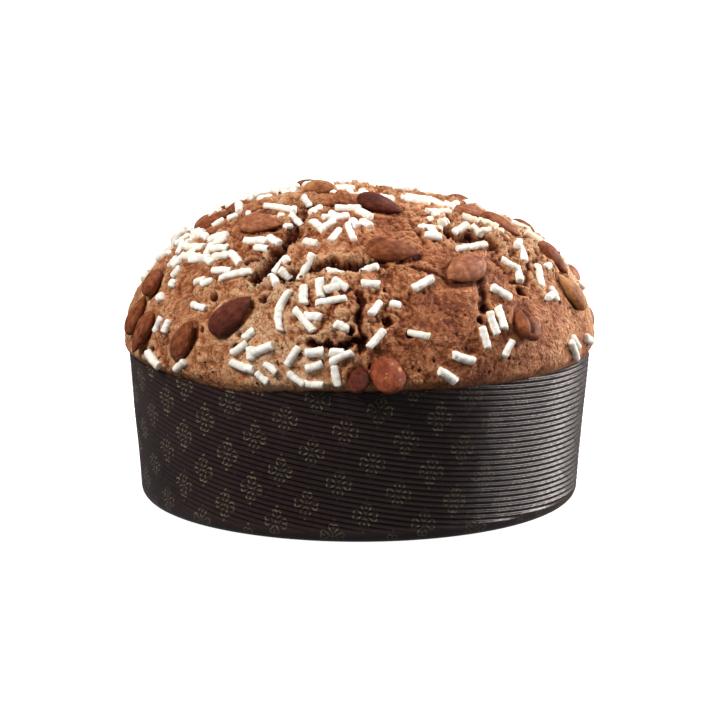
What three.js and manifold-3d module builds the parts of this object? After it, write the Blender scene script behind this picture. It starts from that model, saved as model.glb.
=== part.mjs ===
// A low, wide panettone in its ribbed paper baking case.
// The dome has a cracked glaze with whole almonds and white sugar sticks baked into it.
// Millimetres, +Z up. The origin is the middle of the case's underside, and -Y is the front.
import * as THREE from "three";
import { mergeVertices } from "three/addons/utils/BufferGeometryUtils.js";
import Module from "manifold-3d";

const wasm = await Module();
wasm.setup();

// Paper case
const CASE_HEIGHT = 70;
const RIM_RADIUS = 110;
const BASE_RADIUS = 104.5;
const HEEL_RADIUS = 5;
const RIB_PITCH = 2.5;
const RIB_DEPTH = 0.7;
const PAPER = 0.6;
const FLOOR = 0.9;
const CASE_SIDES = 32;
const HEEL_STEPS = 2;

// Bread
const DOME_RADIUS = 112;
const DOME_HEIGHT = 76;
const DOME_SQUARENESS = 2.15;
const LIP_ANGLE = 0.5;
const BREAD_SIDES = 44;
const DOME_RINGS = 11;

// Gap between pieces that touch
const GAP = 0.3;

// Toppings
const ALMOND_WIDTH = 0.58;
const ALMOND_THICKNESS = 0.37;
const ALMOND_SIDES = 8;
const ALMOND_RINGS = [0.13, 0.36, 0.62, 0.88];
const WIDEST = 0.6;
const STICK_THICKNESS = 3.8;
const STICK_RISE = 0.7;
const STICK_ROOM = 4.8;
const SHORTEST_STICK = 6;
const STICK_BUDGET = 74;

const SEED = 1907;

// Broad swells and hollows of the dome. Each runs between two places, given as around and up
// in degrees, with its width and its height in millimetres.
const SWELLS = [
  [90, 56, 75, 72, 36, -5],
  [-90, 30, -90, 42, 22, -3],
  [-40, 80, -100, 70, 30, 1.5],
  [30, 84, 120, 80, 30, -1.8],
  [24, 12, 48, 12, 18, 1.5],
  [-34, 10, -8, 16, 16, 1.5],
  [160, 20, 190, 24, 20, 2],
  [225, 34, 240, 40, 18, 1.5],
];

// Cracks in the crust: width and depth in millimetres, then the places that each runs through.
const CRACKS = [
  [7, 5, [[-34, 58], [-26, 43], [-26, 37], [-27, 32], [-27, 28], [-30, 24]]],
  [7, 6, [[-24, 25], [-19, 28], [-14, 30], [-8, 32], [-2, 31], [3, 32], [11, 33]]],
  [9, 5, [[37, 46], [38, 40], [45, 40], [51, 37], [49, 32]]],
  [4, 4, [[36, 28], [34, 23], [33, 20], [31, 16]]],
  [4, 3, [[-13, 12], [-9, 10], [-6, 10], [-2, 11], [1, 13]]],
  [4, 3, [[-1, 25], [1, 21], [0, 16], [1, 12], [0, 8]]],
  [8, 5, [[112, 14], [116, 22], [114, 30], [122, 38], [120, 48]]],
  [8, 5, [[150, 26], [160, 32], [172, 30], [184, 36], [196, 34]]],
  [7, 5, [[206, 10], [210, 20], [220, 26], [218, 36]]],
  [8, 5, [[244, 22], [250, 32], [262, 36], [268, 48]]],
];

// Folds where the dough has rolled over itself: width and height, then the places of each one.
const FOLDS = [
  [7, 2.5, [[-80, 47], [-76, 51], [-73, 56], [-68, 61], [-64, 66]]],
  [9, 2.5, [[-60, 63], [-52, 65], [-39, 68], [-20, 69], [-4, 69], [3, 68]]],
];

// Almonds on the front of the dome: around, up, turn in the surface, pitch out of it and roll
// in degrees, then length and lift above the surface in millimetres.
const FRONT_ALMONDS = [
  [-70, 11, 89, -6, -10, 20, 1.1],
  [-63, 8, -95, 13, 17, 21, 1.1],
  [-70, 20, 147, -9, -3, 21, 1.1],
  [-45, 9, 55, 10, -8, 22, 1.2],
  [-32, 16, 53, -2, 0, 24, 1.2],
  [-44, 45, 7, 0, 0, 23, 1.2],
  [-86, 41, 96, 6, 3, 20, 1.0],
  [-95, 49, 40, 2, 0, 20, 0.0],
  [-66, 76, 16, 5, 0, 21, 1.1],
  [14, 61.5, -44, -6, 0, 23, 1.8],
  [11, 36, -13, 0, 1, 24, 1.2],
  [31, 28, 202, 3, 0, 25, 1.7],
  [43, 13, 62, -30, 0, 22, 0.8],
  [6, 5, 111, -42, 0, 25, -0.4],
  [0, 3.4, 90, -50, -20, 17, -1.0],
  [70, 17, 116, -1, 12, 22, 1.1],
  [76, 26, -90, -3, -4, 20, 1.1],
  [98, 17, 176, -7, -2, 20, 0.0],
  [71, 41, -81, -5, -2, 21, 1.3],
  [105, 33, -167, 3, 0, 20, 0.4],
  [79, 49, -86, -1, 0, 21, 0.8],
  [97, 5, -159, -7, 0, 20, -0.2],
];

// Almonds round the back are spread by a rule: as far apart as the draws allow, and all of
// them at least this far behind the middle.
const BACK_ALMONDS = 17;
const BACK_FROM = 42;
const DRAWS_PER_ALMOND = 60;

// Sugar sticks that stand out one by one on the front: around, up and turn in degrees, length.
const SINGLE_STICKS = [
  [-49, 55, 6, 19], [-18, 18, 87, 19], [-36, 26, 19, 17], [39, 35, -5, 16], [-16, 31, 63, 14],
  [-13, 16, -45, 14], [-7, 21, 11, 14], [-106, 56, 76, 13], [-81, 48, 14, 13], [-66, 16, 38, 13],
  [-63, 32, 23, 13], [-62, 28, 67, 13], [-56, 2, -20, 13], [-54, 29, 15, 13], [-38, 38, 8, 13],
  [-3, 44, -73, 13], [57, 18, 11, 13], [61, 33, 17, 13], [89, 68, 58, 13], [-57, 37, 23, 12],
  [-51, 29, -6, 12], [-40, 31, -31, 12], [-31, 44, -73, 12], [-27, 5, -12, 12], [-7, 59, -4, 12],
  [48, 54, -28, 12], [57, 23, 62, 12], [60, 3, -55, 12], [100, 48, -42, 12], [-50, 33, 27, 11],
  [-4, 8, 25, 11], [4, 12, 48, 11], [17, 25, 25, 11], [24, 7, -19, 11], [33, 14, -82, 11],
  [36, 15, 87, 11], [39, 21, -34, 11], [58, 30, 49, 11], [65, 17, 68, 11], [74, 24, 68, 11],
  [79, 29, 48, 11], [-88, 83, -38, 10], [-46, 31, 28, 10], [-42, 27, 14, 10], [-31, 39, -31, 10],
  [-27, 22, -65, 10], [-24, 31, 47, 10], [-22, 9, 23, 10], [-17, 46, -40, 10], [-15, 8, 57, 10],
  [14, 13, -20, 10], [20, 3, -35, 10], [30, 11, -83, 10], [32, 46, -16, 10], [39, 47, 29, 10],
  [51, 54, 1, 10], [63, 43, -80, 10], [98, 61, 42, 10], [-66, 36, 3, 9], [-64, 21, 54, 9],
  [-63, 27, 58, 9], [-58, 29, 17, 9], [-45, 1, 34, 9], [-43, 17, -5, 9], [-33, 35, -13, 9],
  [-33, 52, -16, 9], [-28, 9, 37, 9], [-24, 26, -47, 9], [-14, 2, -32, 9], [-14, 22, -82, 9],
  [-10, 24, -82, 9], [-10, 2, -1, 9], [-9, 42, 70, 9], [-7, 30, 20, 9], [-5, 2, -77, 9],
  [3, 55, -51, 9], [3, 30, -3, 9], [4, 19, 54, 9], [22, 37, 8, 9], [36, 8, 50, 9],
  [43, 43, 3, 9], [49, 25, 61, 9], [76, 27, 57, 9], [89, 60, 35, 9], [92, 53, 81, 9],
  [-74, 25, 63, 8], [-57, 11, 58, 8], [-56, 38, -1, 8], [-13, 47, 57, 8], [-11, 17, -8, 8],
  [-10, 9, 10, 8], [-10, 6, 21, 8], [-9, 52, 40, 8], [-5, 25, -25, 8], [-2, 4, 11, 8],
  [3, 25, -5, 8], [28, 41, -20, 8], [30, 43, 89, 8], [58, 47, -68, 8], [61, 6, -47, 8],
  [71, 5, -24, 8], [-103, 74, 34, 7], [-99, 61, 58, 7], [-86, 27, 60, 7], [-53, 32, -63, 7],
  [-53, 36, 41, 7], [-22, 29, -18, 7], [-22, 1, -37, 7], [-20, 5, -31, 7], [-17, 39, -15, 7],
  [-13, 54, -50, 7], [-7, 24, 16, 7], [-5, 9, 3, 7], [-4, 15, -18, 7], [-2, 48, -66, 7],
  [3, 48, -57, 7], [28, 46, 23, 7], [47, 28, -62, 7], [59, 18, 87, 7], [66, 25, 1, 7],
  [79, 30, 50, 7], [103, 71, 72, 7], [-145, 83, -65, 6], [-96, 71, -46, 6], [-74, 42, -85, 6],
  [-70, 77, -67, 6], [-60, 24, 54, 6], [-59, 37, 61, 6], [-52, 11, 78, 6], [-47, 23, 26, 6],
  [-44, 23, 32, 6], [-26, 12, 50, 6], [-25, 8, -80, 6], [-15, 52, 35, 6],
];

// Drifts of sugar sticks: around and up in degrees, reach in millimetres, and how many.
const STICK_DRIFTS = [
  [-62, 34, 18, 8], [-80, 60, 22, 8], [-20, 64, 14, 6], [10, 76, 16, 8], [66, 46, 20, 8],
  [84, 26, 16, 6], [-8, 84, 16, 6], [-94, 24, 24, 12], [-102, 58, 22, 8], [112, 30, 30, 16],
  [128, 56, 28, 14], [146, 18, 26, 12], [168, 40, 28, 18], [190, 14, 24, 10],
  [206, 54, 28, 14], [216, 26, 28, 16], [240, 40, 26, 14], [252, 12, 22, 8],
];

const radians = THREE.MathUtils.degToRad;

// The same small generator gives the same draws on every run.
function drawsFrom(seed) {
  let state = seed;
  return () => {
    state = (state * 16807) % 2147483647;
    return state / 2147483647;
  };
}

function directionOf(around, up) {
  return new THREE.Vector3(
    Math.sin(around) * Math.cos(up),
    -Math.cos(around) * Math.cos(up),
    Math.sin(up),
  );
}

const swells = SWELLS.map(([aroundA, upA, aroundB, upB, width, height]) => ({
  line: new THREE.Line3(
    directionOf(radians(aroundA), radians(upA)),
    directionOf(radians(aroundB), radians(upB)),
  ),
  width,
  height,
}));

// Distance from the middle of the rim plane to the dome's surface, along a direction.
function domeReach(direction) {
  const flat = Math.hypot(direction.x, direction.y) / DOME_RADIUS;
  const tall = Math.abs(direction.z) / DOME_HEIGHT;
  const power = DOME_SQUARENESS;
  let reach = (flat ** power + tall ** power) ** (-1 / power);
  const nearest = new THREE.Vector3();
  for (const { line, width, height } of swells) {
    line.closestPointToPoint(direction, true, nearest);
    const away = nearest.distanceTo(direction) * RIM_RADIUS;
    reach += height * Math.exp(-((away / width) ** 2));
  }
  return reach;
}

function domePoint(around, up) {
  const direction = directionOf(around, up);
  const point = direction.clone().multiplyScalar(domeReach(direction));
  point.z += CASE_HEIGHT;
  return point;
}

// A place on the dome with its outward, sideways and upward directions.
function domeSpot(around, up) {
  const step = 0.03;
  const east = domePoint(around + step, up).sub(domePoint(around - step, up)).normalize();
  const rise = domePoint(around, up + step).sub(domePoint(around, up - step)).normalize();
  const out = new THREE.Vector3().crossVectors(east, rise).normalize();
  const north = new THREE.Vector3().crossVectors(out, east);
  return { point: domePoint(around, up), east, north, out };
}

// Solids and geometries
function solidOf(geometry) {
  const plain = new THREE.BufferGeometry();
  plain.setAttribute("position", geometry.getAttribute("position"));
  plain.setIndex(geometry.getIndex());
  const merged = mergeVertices(plain, 1e-3);
  return new wasm.Manifold(
    new wasm.Mesh({
      numProp: 3,
      vertProperties: merged.getAttribute("position").array,
      triVerts: new Uint32Array(merged.getIndex().array),
    }),
  );
}

function geometryOf(solid) {
  const mesh = solid.getMesh();
  const geometry = new THREE.BufferGeometry();
  geometry.setAttribute("position", new THREE.BufferAttribute(mesh.vertProperties, 3));
  geometry.setIndex(new THREE.BufferAttribute(mesh.triVerts, 1));
  geometry.computeVertexNormals();
  return geometry;
}

// A closed skin over rings of points, from a bottom point up to a top point.
function stackedRings(bottom, rings, top) {
  const sides = rings[0].length;
  const points = [bottom, ...rings.flat(), top];
  const last = points.length - 1;
  const at = (ring, side) => 1 + ring * sides + (side % sides);
  const faces = [];
  for (let side = 0; side < sides; side++) {
    faces.push(0, at(0, side + 1), at(0, side));
    for (let ring = 0; ring < rings.length - 1; ring++) {
      const [a, b] = [at(ring, side), at(ring, side + 1)];
      const [c, d] = [at(ring + 1, side), at(ring + 1, side + 1)];
      faces.push(a, b, d, a, d, c);
    }
    faces.push(at(rings.length - 1, side), at(rings.length - 1, side + 1), last);
  }
  const geometry = new THREE.BufferGeometry().setFromPoints(points);
  geometry.setIndex(faces);
  return geometry;
}

// Paper case: a tapered cup, ribbed outside, with a rounded heel.
function wallRadius(z) {
  return THREE.MathUtils.lerp(BASE_RADIUS, RIM_RADIUS, z / CASE_HEIGHT);
}

function innerRadius(z) {
  return wallRadius(z) - RIB_DEPTH - PAPER;
}

function caseGeometry() {
  const profile = [new THREE.Vector2(0, 0)];
  for (let step = 0; step <= HEEL_STEPS; step++) {
    const turn = (step / HEEL_STEPS) * (Math.PI / 2);
    profile.push(
      new THREE.Vector2(
        wallRadius(HEEL_RADIUS) - RIB_DEPTH - HEEL_RADIUS * (1 - Math.sin(turn)),
        HEEL_RADIUS * (1 - Math.cos(turn)),
      ),
    );
  }
  const ribs = Math.round((CASE_HEIGHT - HEEL_RADIUS) / RIB_PITCH);
  const pitch = (CASE_HEIGHT - HEEL_RADIUS) / ribs;
  for (let rib = 0; rib < ribs; rib++) {
    const crest = HEEL_RADIUS + (rib + 0.5) * pitch;
    const valley = HEEL_RADIUS + (rib + 1) * pitch;
    profile.push(new THREE.Vector2(wallRadius(crest), crest));
    profile.push(new THREE.Vector2(wallRadius(valley) - RIB_DEPTH, valley));
  }
  profile.push(new THREE.Vector2(innerRadius(CASE_HEIGHT), CASE_HEIGHT));
  profile.push(new THREE.Vector2(innerRadius(HEEL_RADIUS), HEEL_RADIUS));
  profile.push(new THREE.Vector2(innerRadius(FLOOR) - HEEL_RADIUS, FLOOR));
  profile.push(new THREE.Vector2(0, FLOOR));
  return new THREE.LatheGeometry(profile, CASE_SIDES).rotateX(Math.PI / 2);
}

// Bread: it fills the case and rises over the rim as the dome.
function breadGeometry() {
  const inset = GAP + RIM_RADIUS * (1 - Math.cos(Math.PI / CASE_SIDES));
  const turns = Array.from({ length: BREAD_SIDES }, (_, side) => (side / BREAD_SIDES) * 2 * Math.PI);
  const flatRing = (radius, z) =>
    turns.map((turn) => new THREE.Vector3(Math.sin(turn) * radius, -Math.cos(turn) * radius, z));
  const underside = FLOOR + GAP;
  const neck = CASE_HEIGHT + GAP;
  const rings = [
    flatRing(innerRadius(FLOOR) - HEEL_RADIUS - inset, underside),
    flatRing(innerRadius(HEEL_RADIUS) - inset, HEEL_RADIUS + GAP),
    flatRing(innerRadius(CASE_HEIGHT) - inset, neck),
  ];
  for (let ring = 0; ring < DOME_RINGS; ring++) {
    const up = radians(THREE.MathUtils.lerp(LIP_ANGLE, 90, ring / DOME_RINGS));
    rings.push(turns.map((turn) => domePoint(turn, up)));
  }
  return stackedRings(new THREE.Vector3(0, 0, underside), rings, domePoint(0, Math.PI / 2));
}

// Crease: a three-sided bar that follows its path over the dome and runs out at both ends. Its
// edge points into the bread for a crack (inward 1) and out of it for a fold (inward -1).
function creaseGeometry([width, depth, path], inward) {
  const spots = path.map(([around, up]) => domeSpot(radians(around), radians(up)));
  const rings = spots.slice(1, -1).map(({ point, out }, index) => {
    const ahead = spots[index + 2].point.clone().sub(spots[index].point).normalize();
    const side = new THREE.Vector3().crossVectors(out, ahead).multiplyScalar(inward);
    const base = point.clone().addScaledVector(out, (inward * depth) / 2);
    const half = (width / 2) * 1.5;
    return [
      base.clone().addScaledVector(side, -half),
      point.clone().addScaledVector(out, -inward * depth),
      base.clone().addScaledVector(side, half),
    ];
  });
  const ends = [spots[0], spots[spots.length - 1]].map(({ point, out }) =>
    point.clone().addScaledVector(out, inward),
  );
  return stackedRings(ends[0], rings, ends[1]);
}

// Almond: long along X, broad along Y and thin along Z, pointed at +X and blunt at -X.
function almondGirth(along) {
  if (along < WIDEST) return (1 - (1 - along / WIDEST) ** 1.6) ** 0.77;
  return (1 - ((along - WIDEST) / (1 - WIDEST)) ** 2.2) ** 0.45;
}

function almondGeometry(length, spare = 0) {
  const half = length / 2;
  const rings = ALMOND_RINGS.map((along) => {
    const broad = half * ALMOND_WIDTH * almondGirth(along) + spare;
    const thin = half * ALMOND_THICKNESS * almondGirth(along) + spare;
    const x = THREE.MathUtils.lerp(half + spare, -half - spare, along);
    return Array.from({ length: ALMOND_SIDES }, (_, side) => {
      const turn = (side / ALMOND_SIDES) * 2 * Math.PI;
      return new THREE.Vector3(x, Math.cos(turn) * broad, -Math.sin(turn) * thin);
    });
  });
  const tip = new THREE.Vector3(half + spare, 0, 0);
  const blunt = new THREE.Vector3(-half - spare, 0, 0);
  return stackedRings(tip, rings, blunt);
}

function almondPlace([around, up, turn, pitch, roll, length, lift]) {
  const { point, east, north, out } = domeSpot(radians(around), radians(up));
  const along = east.clone().multiplyScalar(Math.cos(radians(turn)));
  along.addScaledVector(north, Math.sin(radians(turn)));
  const side = new THREE.Vector3().crossVectors(out, along);
  const matrix = new THREE.Matrix4().makeBasis(along, side, out);
  const tilt = new THREE.Matrix4().makeRotationFromEuler(
    new THREE.Euler(radians(roll), radians(-pitch), 0, "YXZ"),
  );
  matrix.multiply(tilt);
  const centre = point.addScaledVector(out, lift);
  matrix.setPosition(centre);
  const axis = new THREE.Vector3().setFromMatrixColumn(matrix, 0);
  return { centre, axis, matrix, length };
}

// Best-candidate draws: each new almond takes the draw that is furthest from all the others.
function backAlmonds(front, draw) {
  const places = [...front];
  for (let count = 0; count < BACK_ALMONDS; count++) {
    let best = null;
    for (let attempt = 0; attempt < DRAWS_PER_ALMOND; attempt++) {
      const around = THREE.MathUtils.lerp(90, 270, draw());
      const up = THREE.MathUtils.radToDeg(Math.asin(THREE.MathUtils.lerp(0.12, 0.85, draw())));
      const here = domePoint(radians(around), radians(up));
      if (here.y < BACK_FROM) continue;
      const room = Math.min(...places.map(({ centre }) => centre.distanceTo(here)));
      if (!best || room > best.room) best = { around, up, room };
    }
    const turn = 180 * draw();
    const pitch = 16 * draw() - 8;
    const roll = 24 * draw() - 12;
    const length = 21 + 5 * draw();
    const lift = 0.4 + 1.4 * draw();
    places.push(almondPlace([best.around, best.up, turn, pitch, roll, length, lift]));
  }
  return places.slice(front.length);
}

// Sugar sticks: the single ones, then those of each drift.
function stickList(draw) {
  const sticks = SINGLE_STICKS.map(([around, up, turn, length]) => ({ around, up, turn, length }));
  for (const [around, up, reach, count] of STICK_DRIFTS) {
    const { point, east, north } = domeSpot(radians(around), radians(up));
    for (let stick = 0; stick < count; stick++) {
      const far = reach * Math.sqrt(draw());
      const way = 2 * Math.PI * draw();
      const spot = point.clone();
      spot.addScaledVector(east, far * Math.cos(way));
      spot.addScaledVector(north, far * Math.sin(way));
      spot.z -= CASE_HEIGHT;
      const turn = 180 * draw();
      const length = 4.5 + 8 * draw() ** 1.5;
      sticks.push({
        around: THREE.MathUtils.radToDeg(Math.atan2(spot.x, -spot.y)),
        up: THREE.MathUtils.radToDeg(Math.asin(spot.z / spot.length())),
        turn,
        length,
      });
    }
  }
  return sticks;
}

function stickPlace({ around, up, turn, length }) {
  const { point, east, north, out } = domeSpot(radians(around), radians(up));
  const along = east.clone().multiplyScalar(Math.cos(radians(turn)));
  along.addScaledVector(north, Math.sin(radians(turn)));
  const side = new THREE.Vector3().crossVectors(along, out);
  const centre = point.addScaledVector(out, STICK_RISE);
  const matrix = new THREE.Matrix4().makeBasis(side, along, out).setPosition(centre);
  const reach = along.clone().multiplyScalar(length / 2);
  const line = new THREE.Line3(centre.clone().sub(reach), centre.clone().add(reach));
  return { matrix, line, length };
}

function almondsClear({ line }, almonds) {
  const lowest = Math.min(line.start.z, line.end.z) - STICK_THICKNESS / 2;
  if (lowest < CASE_HEIGHT + GAP) return false;
  const spots = [line.start, line.end, line.getCenter(new THREE.Vector3())];
  const nearest = new THREE.Vector3();
  return almonds.every(({ centre, axis, length }) => {
    const core = axis.clone().multiplyScalar(length * 0.4);
    const spine = new THREE.Line3(centre.clone().sub(core), centre.clone().add(core));
    const room = (length * ALMOND_WIDTH + STICK_THICKNESS) / 2;
    return spots.every(
      (spot) => spine.closestPointToPoint(spot, true, nearest).distanceTo(spot) > room,
    );
  });
}

function sticksClear({ line }, others) {
  const nearest = new THREE.Vector3();
  const spot = new THREE.Vector3();
  return others.every((other) =>
    [0, 0.25, 0.5, 0.75, 1].every((along) => {
      line.at(along, spot);
      return other.line.closestPointToPoint(spot, true, nearest).distanceTo(spot) > STICK_ROOM;
    }),
  );
}

function stickGeometry(length) {
  return new THREE.BoxGeometry(STICK_THICKNESS, length, STICK_THICKNESS);
}

// The longest sticks come first, each clear of the ones before it, until their budget is spent.
function chosenSticks(almonds, draw) {
  const chosen = [];
  const candidates = stickList(draw)
    .filter(({ length }) => length >= SHORTEST_STICK)
    .map(stickPlace)
    .filter((stick) => almondsClear(stick, almonds))
    .sort((a, b) => b.length - a.length);
  for (const stick of candidates) {
    if (chosen.length < STICK_BUDGET && sticksClear(stick, chosen)) chosen.push(stick);
  }
  return chosen;
}

function breadSolid(almonds, sticks) {
  const rods = sticks.map(({ matrix, length }) => solidOf(stickGeometry(length).applyMatrix4(matrix)));
  const pockets = almonds.map(({ matrix, length }) =>
    solidOf(almondGeometry(length, GAP).applyMatrix4(matrix)),
  );
  const cracks = CRACKS.map((crack) => solidOf(creaseGeometry(crack, 1)));
  const folds = FOLDS.map((fold) => solidOf(creaseGeometry(fold, -1)));
  const cracked = solidOf(breadGeometry()).subtract(wasm.Manifold.union(cracks));
  const crusted = wasm.Manifold.union([cracked, ...folds, ...rods]);
  const pocketed = crusted.subtract(wasm.Manifold.union(pockets));
  return pocketed.decompose().sort((a, b) => b.volume() - a.volume())[0];
}

// Materials
const paper = new THREE.MeshStandardMaterial({ color: "#2b1d1a", roughness: 0.42, metalness: 0 });
const crust = new THREE.MeshStandardMaterial({ color: "#b07a4c", roughness: 0.85, metalness: 0 });
const skin = new THREE.MeshStandardMaterial({ color: "#7c4229", roughness: 0.6, metalness: 0 });

// Assembly
const frontAlmonds = FRONT_ALMONDS.map(almondPlace);
const almonds = [...frontAlmonds, ...backAlmonds(frontAlmonds, drawsFrom(SEED))];
const sticks = chosenSticks(almonds, drawsFrom(SEED));

const panettone = new THREE.Group();
panettone.name = "panettone";

const paperCase = new THREE.Mesh(caseGeometry(), paper);
paperCase.name = "paper_case";
panettone.add(paperCase);

const bread = new THREE.Mesh(geometryOf(breadSolid(almonds, sticks)), crust);
bread.name = "bread";
panettone.add(bread);

almonds.forEach(({ matrix, length }, index) => {
  const almond = new THREE.Mesh(almondGeometry(length), skin);
  almond.name = `almond_${String(index + 1).padStart(2, "0")}`;
  almond.position.setFromMatrixPosition(matrix);
  almond.quaternion.setFromRotationMatrix(matrix);
  panettone.add(almond);
});

export default panettone;
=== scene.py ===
"""The looks of a low, wide panettone in its ribbed paper case.

Shapes are worked out in millimetres and turned into metres when a mesh is made.
A place on the dome is given as around and up, in degrees: around goes from the front (-Y)
towards +X, and up goes from the plane of the case's rim to the top.
"""

import math
from functools import partial, reduce

import bpy
import numpy as np
from mathutils import Matrix, Vector


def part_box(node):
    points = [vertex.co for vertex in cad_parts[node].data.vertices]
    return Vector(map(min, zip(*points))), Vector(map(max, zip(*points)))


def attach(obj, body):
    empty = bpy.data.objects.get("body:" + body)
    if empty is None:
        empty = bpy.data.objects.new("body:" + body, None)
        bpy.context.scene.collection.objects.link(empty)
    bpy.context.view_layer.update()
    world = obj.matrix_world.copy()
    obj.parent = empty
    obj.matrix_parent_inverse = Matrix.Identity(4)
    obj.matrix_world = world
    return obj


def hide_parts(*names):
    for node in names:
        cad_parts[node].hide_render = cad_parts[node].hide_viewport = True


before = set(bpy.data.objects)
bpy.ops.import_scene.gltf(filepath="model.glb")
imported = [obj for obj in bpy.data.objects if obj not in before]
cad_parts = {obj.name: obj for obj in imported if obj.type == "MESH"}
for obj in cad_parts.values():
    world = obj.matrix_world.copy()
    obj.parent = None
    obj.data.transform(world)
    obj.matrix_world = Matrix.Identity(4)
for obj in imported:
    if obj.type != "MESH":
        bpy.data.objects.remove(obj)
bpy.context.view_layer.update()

MM = 0.001
SEED = 1907

# The case, with its height taken from the frame
CASE_HEIGHT = float(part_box("paper_case")[1][2]) / MM
RIM_RADIUS = 110.0
BASE_RADIUS = 104.5
RIM_CENTRE = np.array([0, 0, CASE_HEIGHT])

# The dome: the same form as the solid
DOME_RADIUS = 112.0
DOME_HEIGHT = 76.0
DOME_SQUARENESS = 2.15
LOWEST_UP = -2.6
# Broad swells and hollows: around, up, around, up, width, height
SWELLS = [
    (90, 56, 75, 72, 36, -5), (-90, 30, -90, 42, 22, -3), (-40, 80, -100, 70, 30, 1.5),
    (30, 84, 120, 80, 30, -1.8), (24, 12, 48, 12, 18, 1.5), (-34, 10, -8, 16, 16, 1.5),
    (160, 20, 190, 24, 20, 2), (225, 34, 240, 40, 18, 1.5),
]
# Width, depth and course of each crack
CRACKS = [
    (7, 5, [(-34, 58), (-26, 43), (-26, 37), (-27, 32), (-27, 28), (-30, 24)]),
    (7, 6, [(-24, 25), (-19, 28), (-14, 30), (-8, 32), (-2, 31), (3, 32), (11, 33)]),
    (9, 5, [(37, 46), (38, 40), (45, 40), (51, 37), (49, 32)]),
    (4, 2.2, [(36, 28), (34, 23), (33, 20), (31, 16)]),
    (4, 3, [(-13, 12), (-9, 10), (-6, 10), (-2, 11), (1, 13)]),
    (4, 3, [(-1, 25), (1, 21), (0, 16), (1, 12), (0, 8)]),
    (8, 5, [(112, 14), (116, 22), (114, 30), (122, 38), (120, 48)]),
    (8, 5, [(150, 26), (160, 32), (172, 30), (184, 36), (196, 34)]),
    (7, 5, [(206, 10), (210, 20), (220, 26), (218, 36)]),
    (8, 5, [(244, 22), (250, 32), (262, 36), (268, 48)]),
]

# Narrow dark seams under the rolled-over dough and round one almond, given as the cracks are
SEAMS = [
    (3.4, 3, [(-48, 55), (-38, 58), (-28, 61), (-16, 63), (-4, 64)]),
    (3, 2.4, [(-64, 50), (-60, 56), (-56, 60)]),
    (2.4, 1.6, [(44, 24), (50, 22), (54, 26)]),
    (2.4, 1.6, [(14, 31), (20, 29), (26, 26)]),
    (2, 1.2, [(-62, 8), (-58, 10), (-55, 9), (-52, 12)]),
]
# Single holes: around, up, radius
HOLES = [
    (-40, 12, 1.6), (-40, 20, 2), (7, 16, 2.4), (-2, 14, 2.2), (-1, 12, 1.5), (-3, 10, 1.6),
    (-29, 26, 3.4), (-58, 5, 1.4), (-25, 21, 2.2), (42, 39, 4.2), (33, 18, 2), (30, 15, 1.8),
    (65, 37, 2.2), (47, 21, 2.6), (53, 30, 3), (61, 16, 1.6), (-27, 32, 3.2), (-34, 31, 3),
    (-29, 9, 2), (-29, 12, 1.5), (-27, 48, 3), (-26, 42, 3), (3, 6, 1.5), (12, 13, 1.8),
    (-14, 9, 1.5), (-7, 11, 2), (31, 46, 2), (68, 13, 1.5), (71, 4, 1.2), (48, 29, 2),
    (70, 30, 2), (82, 22, 2), (118, 30, 2.6), (140, 12, 2), (163, 30, 3), (181, 42, 2.4),
    (209, 22, 2.6), (228, 12, 1.8), (247, 30, 2.6), (262, 16, 1.8), (-96, 14, 1.8),
]

# Torn, crumbly stretches and smooth, baked ones: around, up, around, up, width, how much
TORN = [
    (36, 46, 56, 36, 15, 1.1), (52, 46, 84, 30, 20, 1), (48, 28, 76, 22, 11, 0.7),
    (60, 56, 96, 44, 16, 0.7), (-34, 56, -27, 26, 12, 0.9), (-22, 27, 14, 33, 9, 0.9),
    (-12, 21, 14, 21, 9, 0.6), (-12, 11, 4, 12, 8, 0.6), (-60, 60, 20, 66, 12, 0.5),
    (20, 56, 40, 60, 14, 0.4), (-66, 30, -50, 36, 14, 0.35), (112, 14, 120, 48, 16, 0.9),
    (150, 26, 196, 34, 16, 0.9), (206, 10, 218, 36, 14, 0.8), (244, 22, 268, 48, 16, 0.9),
    (150, 70, 240, 66, 24, 0.5),
]
SMOOTH = [
    (24, 12, 72, 12, 18, 1), (18, 22, 40, 20, 12, 0.8), (-36, 12, -20, 15, 9, 0.3),
    (0, 50, 24, 52, 14, 0.4), (-50, 60, 0, 69, 8, 0.8), (130, 8, 176, 10, 16, 0.7),
    (222, 10, 262, 12, 16, 0.6),
]
# Raised folds of dough: around, up, around, up, width, height
FOLDS = [
    (-72, 49, -68, 56, 4.5, 3), (-68, 56, -64, 64, 4.5, 3), (-53, 59, -42, 63, 5, 4.2),
    (-42, 63, -30, 66, 5.5, 4.8), (-30, 66, -14, 69, 5.5, 4.8), (-14, 69, 4, 70, 5, 4.2),
    (50, 36, 54, 18, 1.7, 2), (56, 40, 59, 22, 1.7, 2.2), (61, 42, 62, 26, 1.7, 2),
    (-22, 22, -12, 26, 3, 1.4), (-12, 26, 4, 28, 3, 1.5), (66, 36, 67, 18, 2, 1.8),
    (72, 34, 73, 16, 2, 1.6), (78, 30, 79, 10, 2.2, 1.3),
]
# The stretches of the upper fold that lie flat as a sheet
FOLDED_SHEET = FOLDS[3:6]
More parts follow.
